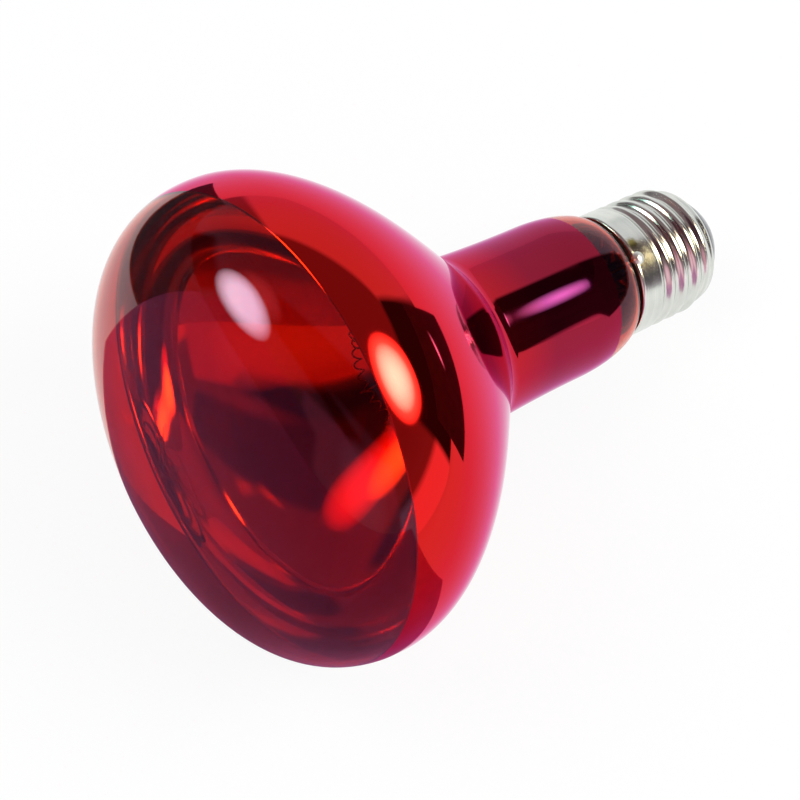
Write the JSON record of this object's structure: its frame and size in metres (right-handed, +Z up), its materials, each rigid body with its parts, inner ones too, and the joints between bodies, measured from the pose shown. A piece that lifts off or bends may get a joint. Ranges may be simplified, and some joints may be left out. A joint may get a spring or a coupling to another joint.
{
  "type": "infrared heat lamp bulb",
  "caption": "Ruby reflector heat lamp with a mirrored bowl, a domed clear face, an inner stem with a coil filament, and a screw cap with a centre contact.",
  "frame": {"origin": "on the table, under the middle of the lamp as it lies on the widest band of its bowl and on its thread", "axes": "+Z up, +X towards the cap along the table, the face looks to -X and tips up by about 20 degrees"},
  "size_m": [0.1313, 0.095, 0.0917],
  "materials": {
    "ruby_glass": "blown, coloured through, glossy",
    "mirror_film": "vapour-deposited aluminium on the inside of the glass",
    "clear_glass": "drawn tube and rod, fire polished",
    "tungsten": "drawn wire, dark grey",
    "nickel_wire": "drawn nickel wire",
    "copper_wire": "copper-clad seal and lead wire",
    "cement": "baked phenolic basing cement",
    "nickel_plate": "rolled sheet, nickel plated",
    "black_glass": "pressed black insulating glass",
    "contact_brass": "stamped brass",
    "solder": "soft solder, bright where it set smooth"
  },
  "bodies": {
    "root": {"glass_envelope": "ruby_glass", "reflector_coating": "mirror_film", "stem_flare": "clear_glass", "exhaust_tube": "clear_glass", "stem_rod": "clear_glass", "filament": "tungsten", "filament_support_1": "tungsten", "filament_support_2": "tungsten", "filament_support_3": "tungsten", "filament_support_4": "tungsten", "inner_lead_1": "nickel_wire", "inner_lead_2": "nickel_wire", "seal_wire_1": "copper_wire", "seal_wire_2": "copper_wire", "outer_lead_side": "copper_wire", "outer_lead_centre": "copper_wire", "basing_cement": "cement", "cap_shell": "nickel_plate", "cap_insulator": "black_glass", "centre_contact": "contact_brass", "centre_solder": "solder", "side_solder": "solder"}
  },
  "joints": []
}
